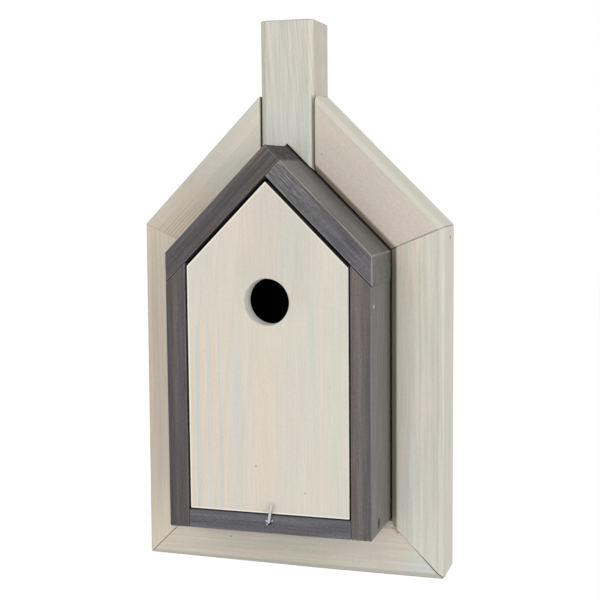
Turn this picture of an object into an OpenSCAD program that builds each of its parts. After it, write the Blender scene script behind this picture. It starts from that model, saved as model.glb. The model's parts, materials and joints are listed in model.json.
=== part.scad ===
// Wall-hung nest box: a dark gabled box with a pale front door, held in a mitred
// house-shaped frame whose chimney post carries the hanger.
// X runs to the right, Y runs into the wall and Z runs up. The wall is the plane Y = 0.
// The origin lies on the back face of the chimney post, on its centre line.

/* [Box] */
// Outside width of the box
box_w = 147; // [120:1:200]
// Height of the box's side walls, from the underside up to the eaves
side_h = 194; // [170:0.5:260]
// Depth of the box, from the wall to its front edges
box_d = 90; // [80:1:130]
// Slope of the roof in degrees
pitch = 45; // [38:1:50]
// Thickness of the side boards
wall_t = 14.5; // [10:0.5:18]
// Thickness of the floor
floor_t = 13.5; // [10:0.5:18]
// Thickness of the roof boards
roof_t = 15; // [10:0.5:18]
// Thickness of the back panel
back_t = 10; // [6:1:14]
// How far the right roof board stands out past the side board
eave_proud = 0.8; // [0:0.1:0.8]

/* [Door] */
// Thickness of the door
door_t = 14; // [10:0.5:16]
// How far the door's face lies behind the box's front edges
door_recess = 1; // [0.5:0.5:4]
// Gap between the door and each side board
door_side_gap = 1.25; // [1:0.25:3]
// Gap between the door and the roof boards
door_top_gap = 2.6; // [1.6:0.2:4]
// Gap between the door and the floor
door_bottom_gap = 0.4; // [0.4:0.2:3]
// Radius of the entrance hole
hole_r = 16; // [12:0.5:22]
// Height of the entrance hole's centre over the door's lower edge
hole_rise = 147; // [120:0.5:150]
// Height of the door's pivot nails under its shoulders
pivot_drop = 26; // [20:1:40]

/* [Frame] */
// Gap between the frame and the box
frame_gap = 1.1; // [0.9:0.1:3]
// Width of the frame boards
frame_w = 38.5; // [30:0.5:60]
// Thickness of the frame boards
frame_t = 38; // [30:1:50]
// Chamfer on the frame's outer front edges
outer_chamfer = 3.8; // [1:0.2:6]
// Chamfer on the frame's inner front edges
inner_chamfer = 4.4; // [1:0.2:6]
// Width of the chimney post
post_w = 39.5; // [34:0.5:60]
// How far the chimney post stands out in front of the frame boards
post_proud = 1; // [0:0.5:6]
// Height of the chimney post's top over the frame's ridge line
post_rise = 32; // [20:0.5:80]
// Depth of the origin under the chimney post's top
origin_drop = 60; // [55:1:70]

/* [Latch] */
// Radius of the latch hook's wire
hook_r = 1.05; // [0.8:0.05:1.1]
// Height of the hook's tip over the middle of its shank
hook_rise = 14; // [9:0.5:16]
// Place of the hook's shank: to the right of the middle, and over the floor's underside
hook_x = 0.7; // [-10:0.1:10]
hook_z = 7.8; // [5:0.1:9]
// Clearance between the box's front edges and the hook's upright arm
hook_clear = 1; // [0.8:0.1:3]
// Depth of the hook's shank in the floor
hook_depth = 14; // [8:1:24]
// Lean of the hook's arm to the right in degrees
hook_lean = 11; // [0:1:20]
// Radius of the hook's collar
collar_r = 2.6; // [2.4:0.1:4]
// Thickness of the hook's collar
collar_t = 0.5; // [0.3:0.1:0.6]

/* [Fasteners] */
// Radius of the door's pivot nails
nail_r = 1.25; // [1:0.05:2]
// Radius of the pivot nails' heads
nail_head_r = 1.9; // [1.7:0.1:3.5]
// Thickness of the pivot nails' heads
nail_head_t = 0.5; // [0.3:0.1:0.8]
// Length of each pivot nail inside the door
nail_bite = 18; // [10:1:30]
// Radius of the frame screws' shanks
screw_r = 2; // [1.5:0.25:2.5]
// Radius of the frame screws' heads
screw_head_r = 4; // [3:0.25:5]
// Length of each frame screw inside its stile
screw_bite = 22; // [15:1:30]
// Distance of each frame screw from the floor or from the eaves
screw_inset = 40; // [25:1:60]
// Radius of the mitre brads
brad_r = 0.9; // [0.6:0.1:1.2]
// Length of the mitre brads
brad_length = 34; // [25:1:40]
// Distance of each mitre brad from the frame's corner
brad_inset = 8; // [5:1:10]
// Length of each staple's crown
staple_crown = 7; // [4:0.2:8]
// Thickness of the staple wire
staple_wire = 1; // [0.6:0.1:1.4]
// Length of the staple legs past the side board
staple_bite = 12; // [6:1:20]
// Distance of the front staples from the box's front edges
staple_inset = 21; // [8:1:22]
// Distance between the front staples and the rear staples
staple_step = 40; // [20:1:45]

/* [Hanger] */
// Width of the hanger plate
plate_w = 18; // [14:1:26]
// Height of the hanger plate
plate_h = 36; // [30:1:40]
// Thickness of the hanger plate
plate_t = 1.6; // [1:0.2:3]
// Distance of the hanger plate's top edge under the chimney post's top
plate_inset = 6; // [4:1:12]
// Radius of the keyhole's round mouth
key_r = 4.5; // [4:0.25:5]
// Radius of the keyhole's slot
slot_r = 2.5; // [1.5:0.1:3]
// Length of the keyhole's slot
slot_rise = 8; // [6:1:10]
// Depth of the pocket behind the keyhole
key_depth = 7; // [5:1:12]
// Radius of the plate screws' shanks
plate_screw_r = 1.2; // [1:0.1:1.5]
// Radius of the plate screws' heads
plate_screw_head_r = 2.4; // [2:0.1:3]
// Length of the plate screws
plate_screw_length = 14; // [8:1:20]

/* [Hidden] */
$fn = 48;

frame_colour = [0.80, 0.77, 0.71];
box_colour = [0.36, 0.345, 0.355];
door_colour = [0.85, 0.83, 0.78];
steel_colour = [0.76, 0.77, 0.79];

// Running clearance round a pin that turns in its hole
fit = 0.05;
// How far cutters reach past the faces that they cut
over = 1;
// Clearance between the hook's shank and its collar
collar_clearance = 0.35;

// Height of an outline's ridge lost for each unit of inward offset, and its slope
ridge_factor = 1 / cos(pitch);
slope = tan(pitch);

// Every outline is given as [half width, bottom, ridge], in heights over the box's underside
box_outer = [box_w / 2, 0, side_h + box_w / 2 * slope];
frame_inner = grown(box_outer, frame_gap);
frame_outer = grown(frame_inner, frame_w);
door_outline = [
    box_w / 2 - wall_t - door_side_gap,
    floor_t + door_bottom_gap,
    box_outer[2] - (roof_t + door_top_gap) * ridge_factor
];

post_top = frame_outer[2] + post_rise;
// Height of the origin over the box's underside
origin_z = post_top - origin_drop;
post_d = frame_t + post_proud;

box_front = -box_d;
door_front = box_front + door_recess;
pivot_y = door_front + door_t / 2;
pivot_z = eave(door_outline) - pivot_drop;
hole_z = door_outline[1] + hole_rise;
// Distance from the box's front edges to the middle of the hook's arm, and the elbow's radius
hook_reach = hook_r + hook_clear;
screw_y = -frame_t / 2;
screw_heights = [floor_t + screw_inset, side_h - screw_inset];
brad_y = -frame_t * 0.4;
plate_z = post_top - plate_inset - plate_h / 2;
// The keyhole's mouth lies below the middle of the plate and its slot runs up from there
key_z = plate_z - slot_rise / 2;
plate_screw_offset = plate_h / 2 - plate_screw_head_r - 1.6;
staple_ys = [box_front + staple_inset, box_front + staple_inset + staple_step];

// Grows an outline outwards by the same distance on every side
function grown(outline, distance) = [
    outline[0] + distance,
    outline[1] - distance,
    outline[2] + distance * ridge_factor
];
// Height of a roof line over the point x, and the height of an outline's eaves
function roof_z(ridge, x) = ridge - abs(x) * slope;
function eave(outline) = roof_z(outline[2], outline[0]);
// Corner of an outline: "bottom" or "eave", on the side s = -1 or 1
function corner(outline, s, place) = [s * outline[0], place == "eave" ? eave(outline) : outline[1]];

// A flat shape drawn in X and Z, from the depth y_front back to y_back
module slab(points, y_front, y_back) {
    translate([0, y_back, 0])
        rotate([90, 0, 0])
            linear_extrude(y_back - y_front) polygon(points);
}

// Everything below is drawn over the box's underside and lowered to the part's origin
module placed() {
    translate([0, 0, -origin_z]) children();
}

// Square bar whose corners cut a chamfer of the given size along the line from a to b
module chamfer_bar(a, b, y, size) {
    run = b - a;
    reach = norm(run) + 4 * size;
    middle = (a + b) / 2;
    translate([middle[0], y, middle[1]])
        rotate([0, atan2(run[0], run[1]), 0])
            linear_extrude(reach, center = true)
                polygon([[size, 0], [0, size], [-size, 0], [0, -size]]);
}

// Frame board between two outer corners and two inner corners, chamfered along both edges
module frame_board(outer_a, outer_b, inner_a, inner_b) {
    difference() {
        slab([outer_a, outer_b, inner_b, inner_a], -frame_t, 0);
        chamfer_bar(outer_a, outer_b, -frame_t, outer_chamfer);
        chamfer_bar(inner_a, inner_b, -frame_t, inner_chamfer);
    }
}

module stile(s) {
    difference() {
        frame_board(
            corner(frame_outer, s, "bottom"), corner(frame_outer, s, "eave"),
            corner(frame_inner, s, "bottom"), corner(frame_inner, s, "eave")
        );
        frame_screw_pair(s);
        brad_pair(s);
    }
}

module rafter(s) {
    post_side = s * post_w / 2;
    difference() {
        frame_board(
            corner(frame_outer, s, "eave"), [post_side, roof_z(frame_outer[2], post_side)],
            corner(frame_inner, s, "eave"), [post_side, roof_z(frame_inner[2], post_side)]
        );
        brad_pair(s);
    }
}

// The brads at the shoulder go in through the stile, and those at the foot through the rail
module brad_pair(s) {
    shoulder = corner(frame_outer, s, "eave");
    foot = corner(frame_outer, s, "bottom");
    translate([shoulder[0], brad_y, shoulder[1] - brad_inset])
        rotate([0, -s * 90, 0]) cylinder(r = brad_r, h = brad_length);
    translate([foot[0] - s * brad_inset, brad_y, foot[1]])
        cylinder(r = brad_r, h = brad_length);
}

// Countersunk screws from inside the box, through its side board and into the stile
module frame_screw_pair(s) {
    inside = box_w / 2 - wall_t;
    length = wall_t + frame_gap + screw_bite;
    sink = screw_head_r - screw_r;
    for (z = screw_heights)
        translate([s * inside, screw_y, z])
            rotate([0, s * 90, 0]) {
                cylinder(r = screw_r, h = length);
                cylinder(r1 = screw_head_r, r2 = screw_r, h = sink);
            }
}

module side_board(s) {
    inner = box_w / 2 - wall_t;
    under = box_outer[2] - roof_t * ridge_factor;
    difference() {
        slab([
            [s * box_w / 2, 0], [s * box_w / 2, roof_z(under, box_w / 2)],
            [s * inner, roof_z(under, inner)], [s * inner, 0]
        ], box_front, 0);
        pivot_nail(s);
        frame_screw_pair(s);
        staple_pair(s);
    }
}

module pivot_nail(s) {
    shank = wall_t + door_side_gap + nail_bite;
    translate([s * (box_w / 2 + nail_head_t / 2), pivot_y, pivot_z])
        rotate([0, -s * 90, 0]) {
            cylinder(r = nail_head_r, h = nail_head_t);
            cylinder(r = nail_r, h = shank);
        }
}

// Staples through a side board into the end of the floor
module staple_pair(s) {
    legs = wall_t + staple_bite;
    for (y = staple_ys)
        translate([s * (box_w / 2 - legs / 2), y, floor_t / 2]) {
            for (end = [-1, 1])
                translate([0, 0, end * (staple_crown - staple_wire) / 2])
                    cube([legs, staple_wire, staple_wire], center = true);
            translate([s * (legs - staple_wire) / 2, 0, 0])
                cube([staple_wire, staple_wire, staple_crown], center = true);
        }
}

// Bore for the hook's shank, along Y from the box's front
module hook_bore(r, front, back) {
    translate([hook_x, back, hook_z])
        rotate([90, 0, 0]) cylinder(r = r, h = back - front);
}

module frame_bottom_rail() {
    color(frame_colour) placed() difference() {
        frame_board(
            corner(frame_outer, -1, "bottom"), corner(frame_outer, 1, "bottom"),
            corner(frame_inner, -1, "bottom"), corner(frame_inner, 1, "bottom")
        );
        brad_pair(-1);
        brad_pair(1);
    }
}

module frame_left_stile() { color(frame_colour) placed() stile(-1); }

module frame_right_stile() { color(frame_colour) placed() stile(1); }

module frame_left_rafter() { color(frame_colour) placed() rafter(-1); }

module frame_right_rafter() { color(frame_colour) placed() rafter(1); }

// The post's foot is notched to sit over the box's roof, in line with the rafters
module chimney_post() {
    half = post_w / 2;
    notch = frame_inner[2];
    color(frame_colour) placed() difference() {
        slab([
            [-half, post_top], [half, post_top], [half, roof_z(notch, half)],
            [0, notch], [-half, roof_z(notch, half)]
        ], -post_d, 0);
        for (s = [-1, 1])
            chamfer_bar([s * half, roof_z(notch, half)], [s * half, post_top], -post_d, outer_chamfer);
        plate_pocket();
        keyhole(-key_depth, key_r + 1, slot_r + 2);
        hanger_screw_pair();
    }
}

module mitre_brads() {
    color(steel_colour) placed() {
        brad_pair(-1);
        brad_pair(1);
    }
}

module plate_pocket() {
    translate([-plate_w / 2, -plate_t, plate_z - plate_h / 2])
        cube([plate_w, plate_t + over, plate_h]);
}

// Keyhole cutter from the depth y out past the wall face
module keyhole(y, mouth, slot) {
    translate([0, over, key_z])
        rotate([90, 0, 0])
            linear_extrude(over - y) {
                circle(mouth);
                translate([0, slot_rise]) circle(slot);
                translate([-slot, 0]) square([2 * slot, slot_rise]);
            }
}

module hanger_screw_pair() {
    for (end = [-1, 1])
        translate([0, 0, plate_z + end * plate_screw_offset])
            rotate([90, 0, 0]) {
                cylinder(r = plate_screw_r, h = plate_screw_length);
                cylinder(
                    r1 = plate_screw_head_r, r2 = plate_screw_r,
                    h = plate_screw_head_r - plate_screw_r
                );
            }
}

module hanger_plate() {
    color(steel_colour) placed() difference() {
        translate([-plate_w / 2, -plate_t, plate_z - plate_h / 2])
            cube([plate_w, plate_t, plate_h]);
        keyhole(-plate_t - over, key_r, slot_r);
        hanger_screw_pair();
    }
}

module hanger_screws() { color(steel_colour) placed() hanger_screw_pair(); }

module box_left_side() { color(box_colour) placed() side_board(-1); }

module box_right_side() { color(box_colour) placed() side_board(1); }

module box_floor() {
    inner = box_w / 2 - wall_t;
    color(box_colour) placed() difference() {
        slab([[-inner, 0], [inner, 0], [inner, floor_t], [-inner, floor_t]], box_front, 0);
        hook_bore(hook_r + fit, box_front - over, box_front + hook_depth + over);
        staple_pair(-1);
        staple_pair(1);
    }
}

module box_back_panel() {
    inner = box_w / 2 - wall_t;
    ridge = box_outer[2] - roof_t * ridge_factor;
    color(box_colour) placed()
        slab([
            [-inner, floor_t], [inner, floor_t], [inner, roof_z(ridge, inner)],
            [0, ridge], [-inner, roof_z(ridge, inner)]
        ], -back_t, 0);
}

// The left board runs through to the ridge, and the right board butts against its underside
module roof_left_board() {
    half = box_w / 2;
    ridge = box_outer[2];
    under = ridge - roof_t * ridge_factor;
    lap = roof_t / (2 * sin(pitch));
    color(box_colour) placed()
        slab([
            [-half, roof_z(ridge, half)], [0, ridge], [lap, roof_z(ridge, lap)],
            [-half, roof_z(under, half)]
        ], box_front, 0);
}

module roof_right_board() {
    half = box_w / 2 + eave_proud;
    ridge = box_outer[2];
    under = ridge - roof_t * ridge_factor;
    lap = roof_t / (2 * sin(pitch));
    color(box_colour) placed()
        slab([
            [lap, roof_z(ridge, lap)], [half, roof_z(ridge, half)],
            [half, roof_z(under, half)], [0, under]
        ], box_front, 0);
}

module floor_staples() {
    color(steel_colour) placed() {
        staple_pair(-1);
        staple_pair(1);
    }
}

module frame_screws() {
    color(steel_colour) placed() {
        frame_screw_pair(-1);
        frame_screw_pair(1);
    }
}

module pivot_nail_left() { color(steel_colour) placed() pivot_nail(-1); }

module pivot_nail_right() { color(steel_colour) placed() pivot_nail(1); }

module latch_collar() {
    color(steel_colour) placed() difference() {
        hook_bore(collar_r, box_front - collar_t, box_front);
        hook_bore(hook_r + collar_clearance, box_front - collar_t - over, box_front + over);
    }
}

// The door hangs on two nails near its shoulders and swings out at the foot
module front_door() {
    half = door_outline[0];
    color(door_colour) placed() difference() {
        slab([
            corner(door_outline, -1, "bottom"), corner(door_outline, 1, "bottom"),
            corner(door_outline, 1, "eave"), [0, door_outline[2]], corner(door_outline, -1, "eave")
        ], door_front, door_front + door_t);
        translate([0, door_front + door_t + over, hole_z])
            rotate([90, 0, 0]) cylinder(r = hole_r, h = door_t + 2 * over, $fn = 96);
        for (s = [-1, 1])
            translate([s * (half + over), pivot_y, pivot_z])
                rotate([0, -s * 90, 0]) cylinder(r = nail_r + fit, h = nail_bite + 2 * over);
    }
}

// Screw hook with its arm turned up over the door's lower edge
module latch_hook() {
    arm = hook_rise - hook_reach - hook_r;
    color(steel_colour) placed()
        translate([hook_x, box_front, hook_z])
            rotate([0, hook_lean, 0]) {
                translate([0, hook_depth, 0])
                    rotate([90, 0, 0]) cylinder(r = hook_r, h = hook_depth);
                translate([0, 0, hook_reach])
                    rotate([0, -90, 0])
                        rotate([0, 0, 180])
                            rotate_extrude(angle = 90) translate([hook_reach, 0]) circle(hook_r);
                translate([0, -hook_reach, hook_reach]) cylinder(r = hook_r, h = arm);
                translate([0, -hook_reach, hook_reach + arm]) sphere(hook_r);
            }
}

frame_bottom_rail();
frame_left_stile();
frame_right_stile();
frame_left_rafter();
frame_right_rafter();
chimney_post();
mitre_brads();
hanger_plate();
hanger_screws();
box_left_side();
box_right_side();
box_floor();
box_back_panel();
roof_left_board();
roof_right_board();
floor_staples();
frame_screws();
pivot_nail_left();
pivot_nail_right();
latch_collar();
front_door();
latch_hook();
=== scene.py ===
import json
import math
from contextlib import contextmanager

import bpy
from mathutils import Matrix, Vector


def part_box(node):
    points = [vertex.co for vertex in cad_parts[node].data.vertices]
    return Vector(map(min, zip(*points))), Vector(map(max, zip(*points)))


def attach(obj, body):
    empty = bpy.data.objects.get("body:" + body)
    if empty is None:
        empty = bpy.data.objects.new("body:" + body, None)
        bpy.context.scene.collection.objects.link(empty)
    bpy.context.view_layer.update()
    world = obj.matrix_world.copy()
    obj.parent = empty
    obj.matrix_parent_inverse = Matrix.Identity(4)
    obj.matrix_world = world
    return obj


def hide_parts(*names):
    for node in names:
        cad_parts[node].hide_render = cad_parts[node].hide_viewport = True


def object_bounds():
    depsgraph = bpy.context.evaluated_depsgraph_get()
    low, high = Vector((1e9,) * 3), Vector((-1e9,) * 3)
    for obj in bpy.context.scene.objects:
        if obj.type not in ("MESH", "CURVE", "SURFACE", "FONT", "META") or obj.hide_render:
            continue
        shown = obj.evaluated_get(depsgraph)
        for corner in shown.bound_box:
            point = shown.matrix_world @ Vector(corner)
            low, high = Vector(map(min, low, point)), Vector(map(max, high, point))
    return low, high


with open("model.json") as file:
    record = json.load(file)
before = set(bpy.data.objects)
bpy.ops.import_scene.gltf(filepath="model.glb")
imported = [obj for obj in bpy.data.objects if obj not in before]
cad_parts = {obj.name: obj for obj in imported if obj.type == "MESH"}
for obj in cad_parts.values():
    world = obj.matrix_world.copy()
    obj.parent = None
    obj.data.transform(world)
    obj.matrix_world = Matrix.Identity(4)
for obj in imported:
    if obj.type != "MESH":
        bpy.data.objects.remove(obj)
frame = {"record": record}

CAD_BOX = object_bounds()
MM = 0.001
# Two places that are closer than this, in metres, count as one
CLOSE = 1e-6

# The camera, in the part's own frame
EYE = Vector((0.25754, -0.85222, -0.05154))
LOOK = Vector((-0.29105, 0.95136, -0.10100)).normalized()
ROLL = math.radians(-0.515)
SENSOR_WIDTH, LENS = 36, 71.48

right_way = LOOK.cross(Vector((0, 0, 1))).normalized()
up_way = right_way.cross(LOOK)
camera_right = math.cos(ROLL) * right_way + math.sin(ROLL) * up_way
camera_up = math.cos(ROLL) * up_way - math.sin(ROLL) * right_way
bpy.ops.object.camera_add(location=EYE)
camera = bpy.context.active_object
camera.name = "camera"
camera.rotation_euler = Matrix((camera_right, camera_up, -LOOK)).transposed().to_euler()
camera.data.sensor_width = SENSOR_WIDTH
camera.data.lens = LENS
bpy.context.scene.camera = camera


# ---------------------------------------------------------------- joinery

def focus(piece):
    bpy.ops.object.select_all(action="DESELECT")
    piece.select_set(True)
    bpy.context.view_layer.objects.active = piece


def settle(name):
    """Names the new piece and moves its place into its mesh."""
    piece = bpy.context.active_object
    piece.name = piece.data.name = name
    bpy.ops.object.transform_apply(location=True, rotation=True, scale=True)
    return piece


def move(piece, place, turn):
    """Turns the newest piece round the origin and takes it to its place."""
    piece.rotation_euler = turn
    piece.location = place
    bpy.ops.object.transform_apply(location=True, rotation=True, scale=True)


def block(name, low, high):
    """A squared block of stock between two corners."""
    bpy.ops.mesh.primitive_cube_add(size=1, location=(low + high) / 2, scale=high - low)
    return settle(name)


@contextmanager
def opened(piece):
    """The piece's mesh, open for work on what is selected in it."""
    focus(piece)
    bpy.ops.object.mode_set(mode="EDIT")
    yield
    bpy.ops.object.mode_set(mode="OBJECT")


def saw(piece, point, away, keep=False):
    """Cuts along the plane through point, and drops what lies on the side that away points to,
    unless it is kept."""
    with opened(piece):
        bpy.ops.mesh.select_all(action="SELECT")
        bpy.ops.mesh.bisect(
            plane_co=point, plane_no=away, use_fill=not keep, clear_outer=not keep)


trims = []


def saw_long(piece, point, away):
    """Saws a joint 1 mm long; it is trimmed once the arrises are eased, and so stays sharp."""
    point, away = Vector(point), Vector(away).normalized()
    trims.append((piece, point, away))
    saw(piece, point + MM * away, away)


def lies(a, b, **place):
    """Whether both ends of an edge lie at the given x, y or z."""
    return all(abs(getattr(end, axis) - at) < CLOSE for end in (a, b) for axis, at in place.items())


def ends(piece, wanted):
    """Makes a test of an edge's two ends into a test of the edge."""
    corners = piece.data.vertices
    return lambda edge: wanted(*(corners[i].co for i in edge.vertices))


def pick_edges(piece, wanted):
    """Selects the wanted edges, and nothing else."""
    bpy.context.tool_settings.mesh_select_mode = (False, True, False)
    mesh = piece.data
    for part in (mesh.vertices, mesh.edges, mesh.polygons):
        part.foreach_set("select", [False] * len(part))
    for edge in mesh.edges:
        if wanted(edge):
            edge.select = True
            for i in edge.vertices:
                mesh.vertices[i].select = True


def bevel_edges(piece, wanted, size, segments):
    pick_edges(piece, wanted)
    with opened(piece):
        bpy.ops.mesh.bevel(offset=size, segments=segments, affect="EDGES", clamp_overlap=True)


def bevel(piece, wanted, size, segments=1):
    """Bevels the edges whose two ends satisfy wanted."""
    bevel_edges(piece, ends(piece, wanted), size, segments)


def folds(piece, least=20):
    """The ends of the edges where two faces meet at more than the least angle, in degrees."""
    faces = {}
    for polygon in piece.data.polygons:
        for key in polygon.edge_keys:
            faces.setdefault(key, []).append(polygon.normal)
    return {
        key for key, normals in faces.items()
        if len(normals) == 2 and normals[0].angle(normals[1], 0) > math.radians(least)
    }


def ease(piece, size, segments=2, flat_within=5):
    """Rounds every sharp edge and marks the rounded strips, which turn away from every flat
    face by more than flat_within degrees, as arrises."""
    sharp = folds(piece)
    mesh = piece.data
    flats = [polygon.normal.copy() for polygon in mesh.polygons]
    bevel_edges(piece, lambda edge: edge.key in sharp, size, segments)
    arris = mesh.attributes.new("arris", "FLOAT", "FACE")
    arris.data.foreach_set("value", [
        float(all(polygon.normal.angle(flat, 0) > math.radians(flat_within) for flat in flats))
        for polygon in mesh.polygons
    ])


def cut(piece, cutter):
    """Takes the cutter's shape out of the piece and throws the cutter away."""
    modifier = piece.modifiers.new("cut", "BOOLEAN")
    modifier.operation = "DIFFERENCE"
    modifier.solver = "EXACT"
    modifier.object = cutter
    focus(piece)
    bpy.ops.object.modifier_apply(modifier="cut")
    bpy.data.objects.remove(cutter)


def rod(name, start, end, radius, sides=32):
    """A round bar between two points."""
    run = end - start
    bpy.ops.mesh.primitive_cylinder_add(
        vertices=sides, radius=radius, depth=run.length, location=(start + end) / 2,
        rotation=run.to_track_quat("Z", "X").to_euler(),
    )
    return settle(name)


def disc(name, place, radius, sides, turn):
    """A flat round, from which a round piece is drawn out."""
    bpy.ops.mesh.primitive_circle_add(
        vertices=sides, radius=radius, fill_type="NGON", location=place, rotation=turn)
    return settle(name)


@contextmanager
def drawn(piece):
    """A disc, open to be drawn out into a solid."""
    with opened(piece):
        yield
        bpy.ops.mesh.select_all(action="SELECT")
        bpy.ops.mesh.normals_make_consistent(inside=False)


def draw(by, growth=(1, 1, 1), middle=(0, 0, 0)):
    """Draws the open end of a piece out, and lets it grow round its middle."""
    bpy.ops.mesh.extrude_region_move(TRANSFORM_OT_translate={"value": tuple(by)})
    bpy.ops.transform.resize(value=growth, center_override=tuple(middle))


def turned(name, start, way, profile, sides=32):
    """A round piece drawn out along way, step by step: each step is (distance, radius)."""
    way = Vector(way).normalized()
    reach, radius = profile[0]
    piece = disc(name, start + reach * way, radius, sides, way.to_track_quat("Z", "X").to_euler())
    with drawn(piece):
        for next_reach, next_radius in profile[1:]:
            growth = (next_radius / radius,) * 3
            draw((next_reach - reach) * way, growth, start + next_reach * way)
            reach, radius = next_reach, next_radius
    return piece


def joined(name, pieces):
    """Several pieces as one."""
    focus(pieces[0])
    for piece in pieces[1:]:
        piece.select_set(True)
    bpy.ops.object.join()
    pieces[0].name = pieces[0].data.name = name
    return pieces[0]


def bore(boards, start, way, depth, radius, sides=24, lead=MM):
    """Bores the boards along way, from the lead before start to the depth behind it."""
    for board in boards:
        cut(board, rod("drill", start - way * lead, start + way * depth, radius, sides))


def smooth(piece, angle):
    """Smooth shading over the edges that turn by less than the angle, in degrees."""
    focus(piece)
    bpy.ops.object.shade_smooth_by_angle(angle=math.radians(angle))


def finish_wood(piece):
    """Smooth arrises between faces that stay flat."""
    smooth(piece, 50)
    modifier = piece.modifiers.new("flat", "WEIGHTED_NORMAL")
    modifier.keep_sharp = True
    bpy.ops.object.modifier_apply(modifier="flat")


def seat(piece, body, slot, *nodes):
    """Sets the piece on its body, and hides the nodes that it stands for. The slot is not used."""
    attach(piece, body)
    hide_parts(*nodes)


def x_of(side, low, high):
    """The outer and inner x of a box on the side -1 or 1."""
    return (low.x, high.x) if side < 0 else (high.x, low.x)


SIDES = ((-1, "left"), (1, "right"))

# ---------------------------------------------------------------- the frame

OUTER_CHAMFER, INNER_CHAMFER = 3.8 * MM, 4.4 * MM
# The right rafter's inner chamfer, and the outer ones that were hardly planed
RAFTER_CHAMFER = {-1: INNER_CHAMFER, 1: 3.6 * MM}
RAIL_CHAMFER, LEFT_RAFTER_CHAMFER = 0.8 * MM, 0.6 * MM
FRAME_ARRIS = 0.8 * MM
# How far each rafter ends short of the post
RAFTER_GAP = {-1: 0.7 * MM, 1: 0.45 * MM}
# How far the left mitre and the shoulders stand open
MITRE_GAP = 0.6 * MM
SHOULDER_GAP = {-1: 0.15 * MM, 1: 0.12 * MM}
# Spare length at a joint that is sawn later
SPARE = 3 * MM
# The left shoulder stands in and up, and the frame's left foot stands up, where they were planed
SHOULDER_IN, SHOULDER_UP = 2.45 * MM, 1.55 * MM
FOOT_IN, FOOT_UP = 0.85 * MM, 1.3 * MM
# How steeply each shoulder's joint falls: the right one halves the turn from stile to rafter
SHOULDER_FALL = {-1: 0.447, 1: math.tan(math.radians(22.5))}
# How steeply the right mitre falls, which opens it towards its outer corner
MITRE_FALL = 1.02
# How near an edge lies to its line: where that is true, and where it may be a little out
ON_LINE, OFF_TRUE = 0.01 * MM, 0.1 * MM
# The least length of an edge that is worth a chamfer
LONG_EDGE = 5 * MM

rail_low, rail_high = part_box("frame_bottom_rail")
stock = rail_high.z - rail_low.z
# The underside rises from the bend to the left foot
bend = Vector((20 * MM, 0, rail_low.z))
left_foot = Vector((rail_low.x + FOOT_IN, 0, rail_low.z + FOOT_UP))
mitre_run = Vector((rail_low.x + stock, 0, rail_high.z)) - left_foot


def along(point, way, size=ON_LINE):
    """A test of whether a long edge at the frame's front lies along the line through point."""
    way = Vector(way).normalized()

    def near(corner):
        run = Vector((corner.x - point[0], 0, corner.z - point[1]))
        return abs(corner.y - rail_low.y) < CLOSE and (run - run.dot(way) * way).length < size

    return lambda a, b: near(a) and near(b) and (a - b).length > LONG_EDGE


def chamfer(piece, outer_point, outer_way, inner_point, inner_way, outer, inner=INNER_CHAMFER):
    """Chamfers the two long front edges."""
    bevel(piece, along(outer_point, outer_way, OFF_TRUE), outer)
    bevel(piece, along(inner_point, inner_way), inner)


def make_rail():
    """The bottom rail, mitred at both ends, with an underside that rises to the left foot."""
    spare = Vector((SPARE, 0, 0))
    rail = block("frame_bottom_rail", rail_low - spare, rail_high + spare)
    saw(rail, bend, (bend.z - left_foot.z, 0, left_foot.x - bend.x))
    saw_long(rail, left_foot + Vector((MITRE_GAP, 0, 0)), (-mitre_run.z, 0, mitre_run.x))
    saw_long(rail, (rail_high.x - stock, 0, rail_high.z), (MITRE_FALL, 0, 1))
    sloping = along((bend.x, bend.z), bend - left_foot)
    level = along((bend.x, bend.z), (1, 0, 0))
    bevel(rail, lambda a, b: sloping(a, b) or level(a, b), RAIL_CHAMFER)
    bevel(rail, along((rail_low.x + stock, rail_high.z), (1, 0, 0)), INNER_CHAMFER)
    return rail


def make_stile(side, name):
    """A stile, and the place of its shoulder."""
    low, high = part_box(name)
    outer, inner = x_of(side, low, high)
    if side < 0:
        foot = left_foot
        shoulder = Vector((outer + SHOULDER_IN, 0, high.z + SHOULDER_UP))
    else:
        foot = Vector((outer, 0, low.z))
        shoulder = Vector((outer, 0, high.z))
    spare = Vector((0, 0, SPARE))
    stile = block(name, low - spare, Vector((high.x, high.y, shoulder.z)) + spare)
    rise = shoulder - foot
    if side < 0:
        saw(stile, foot, (-rise.z, 0, rise.x))
        saw_long(stile, foot, (mitre_run.z, 0, -mitre_run.x))
        saw_long(stile, shoulder, (SHOULDER_FALL[side], 0, 1))
    else:
        saw_long(stile, foot, (-1, 0, -1))
        saw(stile, shoulder, (-SHOULDER_FALL[side], 0, 1))
    chamfer(stile, (foot.x, foot.z), rise, (inner, low.z + stock), (0, 0, 1),
            RAIL_CHAMFER if side < 0 else OUTER_CHAMFER)
    return stile, shoulder


def make_rafter(side, name, shoulder, inner):
    """A rafter from the shoulder to the post. inner is the x of the stile's inner side."""
    low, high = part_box(name)
    spare = Vector((SPARE, 0, SPARE))
    rafter = block(name, low - spare, high + spare)
    top = Vector((high.x if side < 0 else low.x, 0, high.z))
    fall = top - shoulder
    saw(rafter, top, (side * fall.z, 0, -side * fall.x))
    saw(rafter, (inner, 0, low.z), (-side, 0, -1))
    joint = (shoulder + Vector((0, 0, SHOULDER_GAP[side])), (side * SHOULDER_FALL[side], 0, -1))
    if side < 0:
        saw_long(rafter, *joint)
    else:
        saw(rafter, *joint)
    saw(rafter, (top.x + side * RAFTER_GAP[side], 0, 0), (-side, 0, 0))
    chamfer(rafter, (top.x, top.z), fall, (inner, low.z), (-side, 0, 1),
            LEFT_RAFTER_CHAMFER if side < 0 else OUTER_CHAMFER, RAFTER_CHAMFER[side])
    return rafter


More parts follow.
